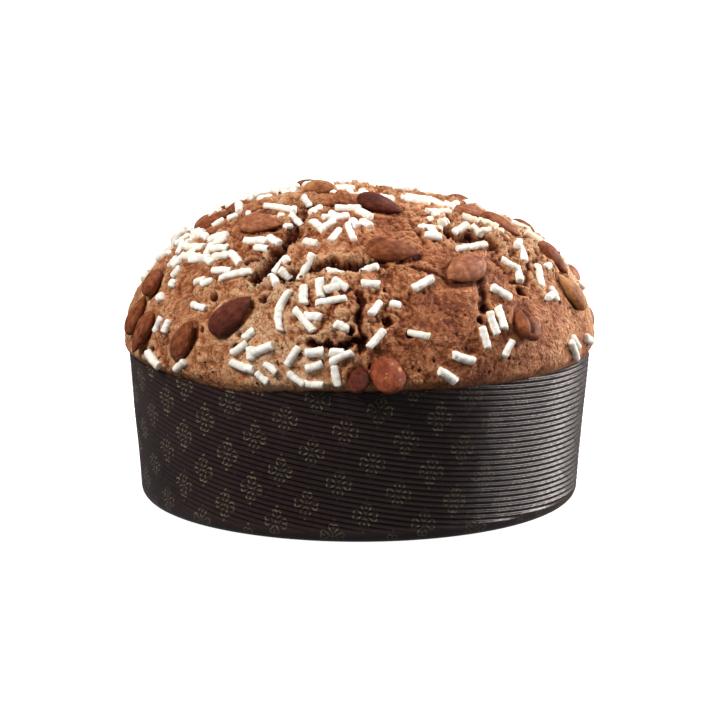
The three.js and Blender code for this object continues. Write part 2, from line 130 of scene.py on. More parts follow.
# Patches of tone: around, up, reach, lighter or darker, redder or yellower
# The pale, yellower patch on the right edge, at around 88, is a painted highlight
TONE_AND_HIGHLIGHT_PATCHES = [
    (-60, 8, 34, 0.36, 0.2), (-20, 8, 26, 0.7, 0.1), (-16, 4, 14, 0.25, 0.05),
    (-30, 18, 18, 0.24, 0.05), (-50, 36, 26, -0.2, 0.15), (10, 52, 30, -0.28, 0),
    (-15, 62, 22, -0.3, 0.15), (10, 12, 16, -0.3, 0.15), (28, 18, 22, -0.44, 0.1),
    (48, 16, 20, -0.12, 0.1), (60, 6, 20, 0.22, 0), (70, 32, 22, 0.12, -0.1),
    (88, 14, 20, 0.85, -0.6), (-30, 38, 14, -0.25, 0.35), (42, 36, 14, -0.25, 0.4),
    (20, 34, 10, -0.25, 0.45), (4, 29, 10, -0.25, 0.35), (-5, 11, 9, -0.15, 0.3),
    (-48, 61, 7, -0.1, 0.5), (-34, 66, 7, 0.1, 0.6), (-20, 68, 7, 0.15, 0.6),
    (-6, 69, 7, 0.15, 0.5), (-69, 54, 8, -0.1, 0.25),
]

# Sugar sticks that stand out one by one on the front, by their length: around, up, turn
SINGLE_STICKS = {
    19: [(-49, 55, 6), (-18, 18, 87)],
    17: [(-36, 26, 19)],
    16: [(39, 35, -5)],
    14: [(-16, 31, 63), (-13, 16, -45), (-7, 21, 11)],
    13: [
        (-106, 56, 76), (-81, 48, 14), (-66, 16, 38), (-63, 32, 23), (-62, 28, 67), (-56, 2, -20),
        (-54, 29, 15), (-38, 38, 8), (-3, 44, -73), (57, 18, 11), (61, 33, 17), (89, 68, 58),
    ],
    12: [
        (-57, 37, 23), (-51, 29, -6), (-40, 31, -31), (-31, 44, -73), (-27, 5, -12), (-7, 59, -4),
        (48, 54, -28), (57, 23, 62), (60, 3, -55), (100, 48, -42),
    ],
    11: [
        (-50, 33, 27), (-4, 8, 25), (4, 12, 48), (17, 25, 25), (24, 7, -19), (33, 14, -82),
        (36, 15, 87), (39, 21, -34), (58, 30, 49), (65, 17, 68), (74, 24, 68), (79, 29, 48),
    ],
    10: [
        (-88, 83, -38), (-46, 31, 28), (-42, 27, 14), (-31, 39, -31), (-27, 22, -65), (-24, 31, 47),
        (-22, 9, 23), (-17, 46, -40), (-15, 8, 57), (14, 13, -20), (20, 3, -35), (30, 11, -83),
        (32, 46, -16), (39, 47, 29), (51, 54, 1), (63, 43, -80), (98, 61, 42),
    ],
    9: [
        (-66, 36, 3), (-64, 21, 54), (-63, 27, 58), (-58, 29, 17), (-45, 1, 34), (-43, 17, -5),
        (-33, 35, -13), (-33, 52, -16), (-28, 9, 37), (-24, 26, -47), (-14, 2, -32), (-14, 22, -82),
        (-10, 24, -82), (-10, 2, -1), (-9, 42, 70), (-7, 30, 20), (-5, 2, -77), (3, 55, -51),
        (3, 30, -3), (4, 19, 54), (22, 37, 8), (36, 8, 50), (43, 43, 3), (49, 25, 61), (76, 27, 57),
        (89, 60, 35), (92, 53, 81),
    ],
    8: [
        (-74, 25, 63), (-57, 11, 58), (-56, 38, -1), (-13, 47, 57), (-11, 17, -8), (-10, 9, 10),
        (-10, 6, 21), (-9, 52, 40), (-5, 25, -25), (-2, 4, 11), (3, 25, -5), (28, 41, -20),
        (30, 43, 89), (58, 47, -68), (61, 6, -47), (71, 5, -24),
    ],
    7: [
        (-103, 74, 34), (-99, 61, 58), (-86, 27, 60), (-53, 32, -63), (-53, 36, 41), (-22, 29, -18),
        (-22, 1, -37), (-20, 5, -31), (-17, 39, -15), (-13, 54, -50), (-7, 24, 16), (-5, 9, 3),
        (-4, 15, -18), (-2, 48, -66), (3, 48, -57), (28, 46, 23), (47, 28, -62), (59, 18, 87),
        (66, 25, 1), (79, 30, 50), (103, 71, 72),
    ],
    6: [
        (-145, 83, -65), (-96, 71, -46), (-74, 42, -85), (-70, 77, -67), (-60, 24, 54), (-59, 37, 61),
        (-52, 11, 78), (-47, 23, 26), (-44, 23, 32), (-26, 12, 50), (-25, 8, -80), (-15, 52, 35),
    ],
    5: [
        (-99, 65, 41), (-86, 33, 78), (-80, 31, 41), (-76, 36, 69), (-65, 45, -84), (9, 20, -20),
        (86, 16, -83),
    ],
    4: [
        (-103, 67, 48), (-100, 51, 42), (-89, 56, 35), (-77, 73, -74), (-60, 17, 30), (-58, 21, -80),
        (-42, 52, 15),
    ],
}
# Drifts of sugar sticks: around, up, reach, how many
STICK_DRIFTS = [
    (-62, 34, 18, 8), (-80, 60, 22, 8), (-20, 64, 14, 6), (10, 76, 16, 8), (66, 46, 20, 8),
    (84, 26, 16, 6), (-8, 84, 16, 6), (-94, 24, 24, 12), (-102, 58, 22, 8), (112, 30, 30, 16),
    (128, 56, 28, 14), (146, 18, 26, 12), (168, 40, 28, 18), (190, 14, 24, 10),
    (206, 54, 28, 14), (216, 26, 28, 16), (240, 40, 26, 14), (252, 12, 22, 8),
]
# Short broken bits of sugar between the sticks, drawn after them: around, up, reach, count
SUGAR_BITS = [
    (-70, 42, 24, 4), (-86, 74, 13, 10), (-60, 82, 9, 7), (-90, 64, 14, 3), (-30, 50, 10, 3),
    (4, 62, 14, 3), (34, 60, 18, 4), (62, 50, 20, 5), (80, 34, 16, 5), (-30, 12, 20, 3),
    (-86, 30, 18, 6), (140, 40, 40, 14), (200, 34, 44, 14), (250, 34, 30, 12), (170, 66, 36, 10),
]
# The stretch of the dome where the sugar is amber: around, up, around, up, width
AMBER_SUGAR = (56, 50, 84, 30, 22)
# The least length of a drawn stick and how much longer the longest is
DRIFT_LENGTHS = (4.5, 8)
BIT_LENGTHS = (2.4, 2.4)
STICK_RADIUS = 1.85
STICK_RISE = 1.05
STICK_STEP = 0.5
STICK_RINGS = 1.35
STICK_SPACING = 4.8
# The number of the one stick that is bent like a bow
CURVED_STICK = 1

# Almonds
ALMOND_WIDTH = 0.58
ALMOND_THICKNESS = 0.37
ALMOND_BED = 0.55
WIDEST = 0.6
CREASED_ALMOND = "almond_13"
# Skins: shades from dark to light, glaze, scuffs, and the numbers of the almonds that have them
ALMOND_SKINS = [
    ("almond_brown", [(70, 32, 20), (121, 65, 40), (164, 100, 64)], 0, 0, range(1, 40)),
    ("almond_pale", [(98, 52, 34), (148, 90, 62), (186, 130, 94)], 0, 0, (6, 12, 18, 21, 30)),
    ("almond_dark", [(50, 23, 18), (86, 42, 32), (118, 62, 46)], 0, 0, (5, 10, 15, 27, 34)),
    ("almond_glazed", [(84, 46, 28), (140, 88, 56), (180, 124, 84)], 0.6, 0, (9, 16, 23, 31)),
    ("almond_scuffed", [(84, 37, 22), (130, 64, 42), (160, 88, 60)], 0, 0.7, (14, 25, 33)),
]

# Paper case
RIB_PITCH = 2.5
RIB_DEPTH = 1.0
PAPER = 0.6
PAPER_FLOOR = 0.9
HEEL_RADIUS = 5.0
# How steeply the ribs run down, place by place round the case, and by how many ribs in all
RIB_SLOPES = [
    (-180, 0), (-130, 0), (-85, 0.16), (10, 0.165), (30, 0.1), (45, 0.07), (60, 0.045),
    (80, 0.025), (110, 0), (180, 0),
]
SLOPED_RIBS = 19
RIM_DIP = 2.4
RIM_DIP_AROUND = -32.0
PLAIN_CREST = 0.3
PRINT_RADIUS = 107
TUCK = 4.4


# Noise

def hashed(cells, salt):
    """A number from 0 to 1 for each whole-number cell, the same on every run."""
    parts = cells.astype(np.int64).astype(np.uint32)
    code = np.uint32(salt * 2654435761 % 2**32)
    for axis, factor in enumerate((73856093, 19349663, 83492791)):
        code = code ^ parts[..., axis] * np.uint32(factor)
    for shift, factor in ((15, 2246822519), (13, 3266489917)):
        code ^= code >> np.uint32(shift)
        code *= np.uint32(factor)
    code ^= code >> np.uint32(16)
    return code / 2.0**32


def slopes_at(cells, salt):
    angle = 2 * np.pi * hashed(cells, salt)
    height = 2 * hashed(cells, salt + 1) - 1
    flat = np.sqrt(1 - height**2)
    return np.stack([flat * np.cos(angle), flat * np.sin(angle), height], -1)


def waves(points, size, salt):
    """Smooth noise from about -1 to 1, with features of a size in millimetres. Salt is its seed."""
    scaled = points / size
    cell = np.floor(scaled)
    local = scaled - cell
    fade = local**3 * (local * (local * 6 - 15) + 10)
    total = np.zeros(len(points))
    for corner in np.ndindex(2, 2, 2):
        offset = np.array(corner)
        weight = np.prod(np.where(offset, fade, 1 - fade), axis=-1)
        slope = slopes_at(cell + offset, salt * 2 + SEED)
        total += weight * np.sum(slope * (local - offset), axis=-1)
    return 1.6 * total


def layered(points, size, layers, salt):
    total = np.zeros(len(points))
    for layer in range(layers):
        total += waves(points, size / 2**layer, salt + layer) / 2**layer
    return total


def cells_near(points, size, salt):
    """Distance to the nearest scattered point, in cell sizes, and that point's number."""
    scaled = points / size
    cell = np.floor(scaled)
    nearest = np.full(len(points), 9.0)
    number = np.zeros(len(points))
    for corner in np.ndindex(3, 3, 3):
        here = cell + np.array(corner) - 1
        seed = np.stack([hashed(here, salt + 11 + axis) for axis in range(3)], -1)
        away = np.linalg.norm(here + seed - scaled, axis=-1)
        closer = away < nearest
        number = np.where(closer, hashed(here, salt + 17), number)
        nearest = np.where(closer, away, nearest)
    return nearest, number


def ease(low, high, value):
    """0 at low and 1 at high, with a smooth way between them."""
    ratio = np.clip((value - low) / (high - low), 0, 1)
    return ratio * ratio * (3 - 2 * ratio)


def bell(value, width):
    return np.exp(-((value / width) ** 2))


# The dome's form

def directions(around, up):
    around, up = np.radians(around), np.radians(up)
    flat = np.cos(up)
    return np.stack([np.sin(around) * flat, -np.cos(around) * flat, np.sin(up)], -1)


def off_line(points, start, end):
    """Distance to the stretch from start to end, and how far along it the nearest place is."""
    run = end - start
    along = np.clip((points - start) @ run / (run @ run), 0, 1)
    return np.linalg.norm(points - (start + along[:, None] * run), axis=-1), along


def swell(ways, spread):
    """How close each direction is to a stretch of the dome: 1 on it, fading over its width."""
    start, end = directions(spread[0], spread[1]), directions(spread[2], spread[3])
    away, _ = off_line(ways, start, end)
    return bell(away * RIM_RADIUS, spread[4])


def strongest(ways, spreads):
    """The most that any one of the stretches adds in each direction."""
    return np.max([spread[5] * swell(ways, spread) for spread in spreads], axis=0)


def on_sheet(ways):
    """How far each direction is on the flat sheet of dough, from 0 to 1."""
    return np.max([swell(ways, spread) for spread in FOLDED_SHEET], axis=0)


def dome_reach(ways):
    flat = np.hypot(ways[:, 0], ways[:, 1]) / DOME_RADIUS
    tall = np.abs(ways[:, 2]) / DOME_HEIGHT
    reach = (flat**DOME_SQUARENESS + tall**DOME_SQUARENESS) ** (-1 / DOME_SQUARENESS)
    for spread in SWELLS:
        reach += spread[5] * swell(ways, spread)
    return reach


def dome_points(ways):
    return ways * dome_reach(ways)[:, None] + RIM_CENTRE


def unit(vectors):
    return vectors / np.linalg.norm(vectors, axis=-1, keepdims=True)


def ways_to(points):
    return unit(points - RIM_CENTRE)


def dome_spots(around, up):
    """Places on the dome with their eastward, upward and outward directions."""
    step = math.degrees(0.03)
    around, up = np.atleast_1d(around).astype(float), np.atleast_1d(up).astype(float)
    points = dome_points(directions(around, up))
    ahead, behind = directions(around + step, up), directions(around - step, up)
    above, below = directions(around, up + step), directions(around, up - step)
    east = unit(dome_points(ahead) - dome_points(behind))
    out = unit(np.cross(east, unit(dome_points(above) - dome_points(below))))
    return points, east, np.cross(out, east), out


# Meshes

def every_pair(first, second):
    """Each value of the first with each of the second, as two flat arrays."""
    return [grid.ravel() for grid in np.meshgrid(first, second, indexing="ij")]


def add_object(name, data):
    """A new object, linked into the scene."""
    made = bpy.data.objects.new(name, data)
    bpy.context.scene.collection.objects.link(made)
    return made


def make_piece(name, points, faces, slot, material, *nodes, **attributes):
    """A smooth-shaded piece from points in millimetres, riding on the only body."""
    mesh = bpy.data.meshes.new(name)
    mesh.from_pydata(np.asarray(points) * MM, [], faces)
    mesh.update()
    mesh.shade_smooth()
    for title, values in attributes.items():
        layer = mesh.attributes.new(title, "FLOAT", "POINT")
        layer.data.foreach_set("value", np.full(len(points), values, np.float32))
    mesh.materials.append(material)
    piece = add_object(name, mesh)
    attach(piece, "root")
    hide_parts(*nodes)
    return piece


def point_normals(points, faces):
    corners = points[faces]
    face_normals = np.cross(corners[:, 2] - corners[:, 0], corners[:, 3] - corners[:, 1])
    normals = np.zeros_like(points)
    for corner, axis in np.ndindex(4, 3):
        weights = face_normals[:, axis]
        normals[:, axis] += np.bincount(faces[:, corner], weights, minlength=len(points))
    return unit(normals)


def strips(rings, sides):
    """Quads between each ring and the next, for rings of points that follow one another."""
    ring, side = every_pair(np.arange(rings - 1), np.arange(sides))
    beside = (side + 1) % sides
    low, high = ring * sides, (ring + 1) * sides
    return np.stack([low + side, low + beside, high + beside, high + side], -1)


def joined(parts):
    """One mesh out of several, each given as its points and faces."""
    all_points, all_faces, count = [], [], 0
    for points, faces in parts:
        all_points.append(points)
        all_faces += [[count + corner for corner in face] for face in faces]
        count += len(points)
    return np.vstack(all_points), all_faces


def closed_faces(rings, sides):
    """Quads between rings and a fan at each end, round the two points that follow the rings."""
    faces = strips(rings, sides)[:, ::-1].tolist()
    first = rings * sides
    base = first - sides
    for side in range(sides):
        beside = (side + 1) % sides
        faces += [(first, side, beside), (first + 1, base + beside, base + side)]
    return faces


# Materials

class Paint:
    """A material's nodes, with short calls for the few kinds that are used here."""

    def __init__(self, name):
        self.material = bpy.data.materials.new(name)
        self.material.use_nodes = True
        self.tree = self.material.node_tree
        self.shader = self.tree.nodes["Principled BSDF"]
        self.place = self.tree.nodes.new("ShaderNodeTexCoord").outputs["Object"]

    def node(self, kind, inputs=None, **settings):
        made = self.tree.nodes.new(kind)
        for title, value in settings.items():
            setattr(made, title, value)
        for title, value in (inputs or {}).items():
            self.feed(made.inputs[title], value)
        return made

    def feed(self, socket, value):
        if isinstance(value, bpy.types.NodeSocket):
            self.tree.links.new(value, socket)
        else:
            socket.default_value = value

    def attribute(self, name):
        return self.node("ShaderNodeAttribute", attribute_name=name).outputs["Fac"]

    def math(self, operation, *values):
        return self.node("ShaderNodeMath", dict(enumerate(values)), operation=operation).outputs[0]

    def add(self, *values):
        return reduce(partial(self.math, "ADD"), values)

    def less(self, first, second):
        return self.math("SUBTRACT", first, second)

    def times(self, first, second):
        return self.math("MULTIPLY", first, second)

    def most(self, *values):
        return reduce(partial(self.math, "MAXIMUM"), values)

    def span(self, value, low, high, to_low=0.0, to_high=1.0):
        inputs = {"Value": value, "From Min": low, "From Max": high}
        inputs |= {"To Min": to_low, "To Max": to_high}
        return self.node("ShaderNodeMapRange", inputs).outputs[0]

    def swing(self, noise, reach):
        """The middle of a noise's range as a change of up to reach either way."""
        return self.span(noise, 0.3, 0.7, -reach, reach)

    def noise(self, size_mm, detail, roughness):
        inputs = {"Vector": self.place, "Scale": 1 / (size_mm * MM)}
        inputs |= {"Detail": detail, "Roughness": roughness}
        return self.node("ShaderNodeTexNoise", inputs).outputs["Fac"]

    def spots(self, size_mm, feature="F1"):
        inputs = {"Vector": self.place, "Scale": 1 / (size_mm * MM)}
        return self.node("ShaderNodeTexVoronoi", inputs, feature=feature).outputs["Distance"]

    def mix(self, factor, first, second):
        inputs = {0: factor, 6: first, 7: second}
        return self.node("ShaderNodeMix", inputs, data_type="RGBA").outputs[2]

    def ramp(self, factor, shades, low=0.0, high=1.0):
        made = self.node("ShaderNodeValToRGB", {"Fac": factor})
        ramp = made.color_ramp
        while len(ramp.elements) < len(shades):
            ramp.elements.new(0.5)
        positions = np.linspace(low, high, len(shades))
        for element, position, shade in zip(ramp.elements, positions, shades):
            element.position = position
            element.color = rgb(*shade)
        return made.outputs["Color"]

    def bump(self, height, distance_mm, strength=1.0):
        inputs = {"Height": height, "Distance": distance_mm * MM, "Strength": strength}
        return self.node("ShaderNodeBump", inputs).outputs[0]

    def finish(self, **sockets):
        for title, value in sockets.items():
            self.feed(self.shader.inputs[title.replace("_", " ")], value)
        return self.material


def rgb(red, green, blue):
    """A colour as it looks on a screen, 0 to 255, as the linear colour a shader takes."""
    shares = np.array([red, green, blue]) / 255
    linear = np.where(shares <= 0.04045, shares / 12.92, ((shares + 0.055) / 1.055) ** 2.4)
    return (*linear.tolist(), 1.0)


def crust_paint():
    paint = Paint("baked_nut_glaze")
    tone_and_shade, red, crevice_shade = (paint.attribute(name) for name in ("tone_and_shade", "red", "crevice_shade"))
    mottle, patch = paint.noise(9, 4, 0.6), paint.noise(3.2, 3, 0.6)
    grain, freckle = paint.noise(1.1, 4, 0.7), paint.noise(0.5, 2, 0.6)
    uneven = (mottle, 0.10), (patch, 0.08), (grain, 0.12), (freckle, 0.08)
    # The tone carries the crust's own mottled colour and painted shade in its dips
    value = paint.add(tone_and_shade, *(paint.swing(noise, reach) for noise, reach in uneven))
    browns = (100, 49, 28), (152, 85, 52), (199, 130, 87), (229, 170, 124), (245, 204, 164)
    rusts = (84, 36, 20), (160, 88, 54), (212, 144, 98)
    colour = paint.mix(red, paint.ramp(value, browns), paint.ramp(value, rusts))

    def fine_cracks(size, wander, width, mask):
        edge = paint.add(paint.spots(size, "DISTANCE_TO_EDGE"), paint.swing(grain, wander))
        return paint.times(paint.span(edge, 0.0, width, 1.0, 0.0), mask)

    pores = paint.span(paint.spots(1.6), 0.12, 0.28, 1.0, 0.0)
    pores = paint.times(pores, paint.span(patch, 0.40, 0.58))
    splits = fine_cracks(5.5, 0.05, 0.05, paint.span(mottle, 0.50, 0.60))
    crazing = fine_cracks(2.0, 0.06, 0.08, paint.span(mottle, 0.56, 0.44))
    dark = paint.most(paint.times(pores, 0.8), paint.times(splits, 0.5), paint.times(crazing, 0.45))
    colour = paint.mix(dark, colour, rgb(78, 40, 24))
    # Painted shade: hollows, dips between lumps, cracks, holes and the crust at the paper's rim are
    # darkened towards a deep brown
    colour = paint.mix(crevice_shade, colour, rgb(72, 33, 18))
    height = paint.add(paint.times(patch, 0.8), paint.times(grain, 1.3), paint.times(freckle, 0.6))
    return paint.finish(
        Base_Color=colour,
        Roughness=paint.span(patch, 0.3, 0.7, 0.72, 0.48),
        Specular_IOR_Level=0.25,
        Normal=paint.bump(paint.less(height, dark), 1.0),
    )


def sugar_paint():
    paint = Paint("baked_sugar")
    clump = paint.noise(2.4, 3, 0.6)
    grain = paint.noise(0.5, 2, 0.6)
    warm = paint.span(paint.noise(14, 2, 0.5), 0.48, 0.70, 0.0, 0.45)
    warm = paint.add(warm, paint.attribute("amber"))
    white = paint.ramp(clump, [(228, 220, 205), (247, 244, 236), (253, 251, 247)], 0.3, 0.7)
    return paint.finish(
        Base_Color=paint.mix(paint.times(warm, 0.5), white, rgb(228, 204, 158)),
        Roughness=paint.span(grain, 0.3, 0.7, 0.62, 0.42),
        Specular_IOR_Level=0.4,
        Subsurface_Weight=0.25,
        Subsurface_Radius=(1.0, 0.8, 0.55),
        Subsurface_Scale=1.2 * MM,
        Normal=paint.bump(paint.add(clump, paint.times(grain, 0.35)), 0.35, 0.7),
    )


def almond_paint(name, shades, glaze, scuff):
    paint = Paint(name)
    streak = paint.attribute("streak")
    mottle = paint.noise(3.5, 4, 0.6)
    grain = paint.noise(0.45, 2, 0.6)
    value = paint.add(streak, paint.swing(mottle, 0.22), paint.swing(grain, 0.08))
    # The streaks carry the skin's own streaks and painted shade in its grooves and crease
    colour = paint.ramp(value, shades, 0.1, 0.9)
    if scuff:
        mask = paint.times(paint.span(paint.noise(4.0, 5, 0.75), 0.60, 0.66), scuff)
        colour = paint.mix(mask, colour, rgb(214, 160, 112))
    if glaze:
        mask = paint.times(paint.span(paint.noise(6.0, 4, 0.6), 0.44, 0.56), glaze)
        colour = paint.mix(mask, colour, rgb(196, 142, 92))
    return paint.finish(
        Base_Color=colour,
        Roughness=paint.span(mottle, 0.3, 0.7, 0.68, 0.52),
        Specular_IOR_Level=0.22,
        Normal=paint.bump(paint.add(streak, paint.times(grain, 0.4)), 0.3, 0.7),
    )


# Print on the case, in millimetres along the wall and up it
MOTIF_STEPS = ((-14.9, -9.6), (11.8, -14.5))
MOTIF_START = (-59.3, 61.6)
MOTIF_TILT = math.radians(-7)
LOBE_FAR = 4.2
LOBE_ASIDE = 1.05
LOBE_RADIUS = 1.15
PETAL_FLARE = math.radians(38)
PETAL_TIP = 1.0
PETAL_WIDEST = 3.75
DOT_AWAY = 7.4
LINE_WIDTH = 0.34
PRINT_STRENGTH = 0.48


def case_paint():
    paint = Paint("printed_baking_paper")
    place = paint.node("ShaderNodeUVMap", uv_map="wall").outputs[0]
    split = paint.node("ShaderNodeSeparateXYZ", {0: place})
    along, rise = (paint.less(split.outputs[axis], MOTIF_START[axis]) for axis in (0, 1))
    (ax, ay), (bx, by) = MOTIF_STEPS
    area = ax * by - ay * bx

    def combined(first, second, x, y):
        return paint.add(paint.times(x, first), paint.times(y, second))

    def length_of(first, second):
        return paint.math("SQRT", combined(first, second, first, second))

    def dot(distance):
        return paint.span(distance, 0.3, 0.6, 1.0, 0.0)

    # Where each place lies in its own motif
    steps = [
        combined(by / area, -bx / area, along, rise),
        combined(-ay / area, ax / area, along, rise),
    ]
    rest = [paint.less(step, paint.math("ROUND", step)) for step in steps]
    x, y = combined(ax, bx, *rest), combined(ay, by, *rest)
    cos, sin = math.cos(MOTIF_TILT), math.sin(MOTIF_TILT)
    across, upward = combined(cos, sin, x, y), combined(-sin, cos, x, y)
    sideways, upright = (paint.math("ABSOLUTE", side) for side in (across, upward))
    outward = paint.most(sideways, upright)
    off_axis = paint.math("MINIMUM", sideways, upright)

    # Each petal is a heart: two round lobes and straight sides that run to a point
    lobe = length_of(paint.less(outward, LOBE_FAR), paint.less(off_axis, LOBE_ASIDE))
    lobe = paint.less(lobe, LOBE_RADIUS)
    flare = math.cos(PETAL_FLARE), -math.sin(PETAL_FLARE)
    wedge = combined(*flare, off_axis, paint.less(outward, PETAL_TIP))
    wedge = paint.most(wedge, paint.less(outward, PETAL_WIDEST))
    outline = paint.math("ABSOLUTE", paint.math("MINIMUM", lobe, wedge))
    petals = paint.span(outline, LINE_WIDTH * 0.4, LINE_WIDTH, 1.0, 0.0)
    petals = paint.times(petals, paint.span(outward, PETAL_TIP, 2.2, 0.25, 1.0))
    far_dot = dot(length_of(across, paint.less(upright, DOT_AWAY)))
    printed = paint.most(petals, dot(length_of(across, upward)), far_dot)
    worn = paint.span(paint.noise(1.2, 4, 0.75), 0.38, 0.54, 0.15, 1.0)
    # Besides its patchy wear, the print is fainter down in the rib valleys and full on the crests, a
    # painted shade
    worn = paint.times(worn, paint.span(paint.attribute("crest"), 0.1, 0.6, 0.4, 1.0))
    printed = paint.times(paint.times(printed, worn), PRINT_STRENGTH)

    fibre = paint.noise(2.6, 2, 0.5)
    cloud = paint.noise(30, 3, 0.5)
    brown = paint.mix(paint.span(cloud, 0.3, 0.7), rgb(33, 22, 22), rgb(43, 30, 30))
    brown = paint.mix(paint.span(fibre, 0.35, 0.7, 0.0, 0.35), brown, rgb(56, 40, 40))
    return paint.finish(
        Base_Color=paint.mix(printed, brown, rgb(150, 142, 112)),
        Roughness=paint.span(fibre, 0.3, 0.7, 0.36, 0.26),
        Specular_IOR_Level=0.45,
        Normal=paint.bump(fibre, 0.2, 0.6),
    )


# The almonds' places, found again from their solids

def almond_place(node):
    """Centre, long axis, broad axis, thin axis and length of an almond's solid."""
    count = len(node.data.vertices)
    points = np.zeros(count * 3)
    node.data.vertices.foreach_get("co", points)
    points = np.unique(np.round(points.reshape(-1, 3) / MM, 3), axis=0)
    middle = points.mean(0)
    _, _, axes = np.linalg.svd(points - middle, full_matrices=False)
    along = (points - middle) @ axes[0]
    centre = middle + axes[0] * (along.max() + along.min()) / 2
    length = np.ptp(along)
    apart = (points - centre) - np.outer((points - centre) @ axes[0], axes[0])
    widest = int(np.argmax(np.linalg.norm(apart, axis=1)))
    tip = axes[0] if (points[widest] - centre) @ axes[0] < 0 else -axes[0]
    thin = axes[2] if axes[2] @ (centre - RIM_CENTRE) > 0 else -axes[2]
    return centre, tip, np.cross(thin, tip), thin, length


ALMONDS = {
    name: almond_place(node)
    for name, node in sorted(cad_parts.items())
    if name.startswith("almond_")
}


def almond_girth(along):
    before = (1 - np.clip(1 - along / WIDEST, 0, 1) ** 1.6) ** 0.77
    after = (1 - np.clip((along - WIDEST) / (1 - WIDEST), 0, 1) ** 2.2) ** 0.45
    return np.where(along < WIDEST, before, after)


def make_almond(name, place, material):
    """Pointed at one end and blunt at the other, with a skin wrinkled lengthwise."""
    centre, tip, broad, thin, length = place
    rings, sides = 46, 40
    turn = np.linspace(0, 2 * np.pi, sides, endpoint=False)
    along = (1 - np.cos(np.linspace(0, np.pi, rings + 2)[1:-1])) / 2
    along, turn = every_pair(along, turn)
    half = length / 2
    girth = almond_girth(along)
    rise = half * ALMOND_THICKNESS * girth * np.sin(turn) * (1 - 0.1 * np.cos(turn) ** 2)
    aside = half * ALMOND_WIDTH * girth * np.cos(turn)
    local = np.stack([half * (1 - 2 * along), aside, rise], -1)
    salt = int(name[-2:]) * 40
    sample = local * (0.16, 1.15, 1.15) + 100
    wrinkle = waves(sample, 1.0, salt) * 0.55 + waves(sample, 0.5, salt + 3) * 0.45
    bulges = waves(local + 50, 6.0, salt + 5)
    fade = ease(0, 0.12, along) * ease(0, 0.1, 1 - along)
    grow = 1 + fade * (0.035 * wrinkle + 0.05 * bulges)
    local[:, 1:] *= grow[:, None]
    if name == CREASED_ALMOND:
        crease = bell(local[:, 1] - 0.14 * half, 0.8)
        crease *= ease(0, 0.4, np.sin(turn)) * fade
        local[:, 2] -= 1.5 * crease
        # The crease is also painted darker in the streaks, a painted shade
        wrinkle = wrinkle - 1.6 * crease
    local = np.vstack([local, [[half, 0, 0], [-half, 0, 0]]])
    # Streaks of the skin's own colour along its wrinkles, with painted shade: darker in the grooves,
    # lighter on the ridges
    streak = np.append(0.5 + 0.42 * wrinkle + 0.1 * bulges, [0.4, 0.4])
    points = centre + local @ np.stack([tip, broad, thin])
    faces = closed_faces(rings, sides)
    make_piece(f"{name}_skin", points, faces, "almond", material, name, streak=streak)


def make_almonds():
    skins = {}
    for title, shades, glaze, scuff, numbers in ALMOND_SKINS:
        skin = almond_paint(title, shades, glaze, scuff)
        skins.update({f"almond_{number:02}": skin for number in numbers})
    for name, place in ALMONDS.items():
        make_almond(name, place, skins[name])


# The crust's relief

def near_almonds(points):
    """For each point, the least distance to an almond in almond sizes: 1 is on its skin."""
    least = np.full(len(points), 9.0)
    for centre, tip, broad, thin, length in ALMONDS.values():
        half = length / 2
        away = points - centre
        reaches = (tip, half), (broad, half * ALMOND_WIDTH), (thin, half * ALMOND_BED)
        scaled = np.stack([away @ way / reach for way, reach in reaches], -1)
        least = np.minimum(least, np.linalg.norm(scaled, axis=-1))
    return least


def lumps(points, size, salt):
    """Rounded lumps, mostly from -0.6 in the sharp valleys between them to 0.6."""
    return np.minimum(np.abs(waves(points, size, salt)) * 2.2, 1.25) - 0.6


def cut_along(points, width, path, unevenness):
    """How deep a ragged groove is at each point, from 0 to 1, and how high its torn lips are."""
    course = dome_points(directions(*np.array(path, float).T))
    away = np.full(len(points), 99.0)
    share = np.zeros(len(points))
    for index, (start, end) in enumerate(zip(course, course[1:])):
        distance, along = off_line(points, start, end)
        share = np.where(distance < away, (index + along) / (len(course) - 1), share)
        away = np.minimum(away, distance)
    ragged = away + width * unevenness
    taper = ease(0, 0.12, share) * ease(0, 0.12, 1 - share)
    cut = ease(width * 0.62, width * 0.12, ragged) * taper
    lip = bell(ragged - width * 0.75, 0.22 * width) * taper
    return cut, lip


def how_torn(points, ways):
    torn = np.full(len(points), 0.24)
    for spread in TORN:
        torn += spread[5] * swell(ways, spread)
    for spread in SMOOTH:
        torn -= 0.6 * spread[5] * swell(ways, spread)
    return np.clip(torn + 0.22 * waves(points, 16, 5), 0.03, 1.15)


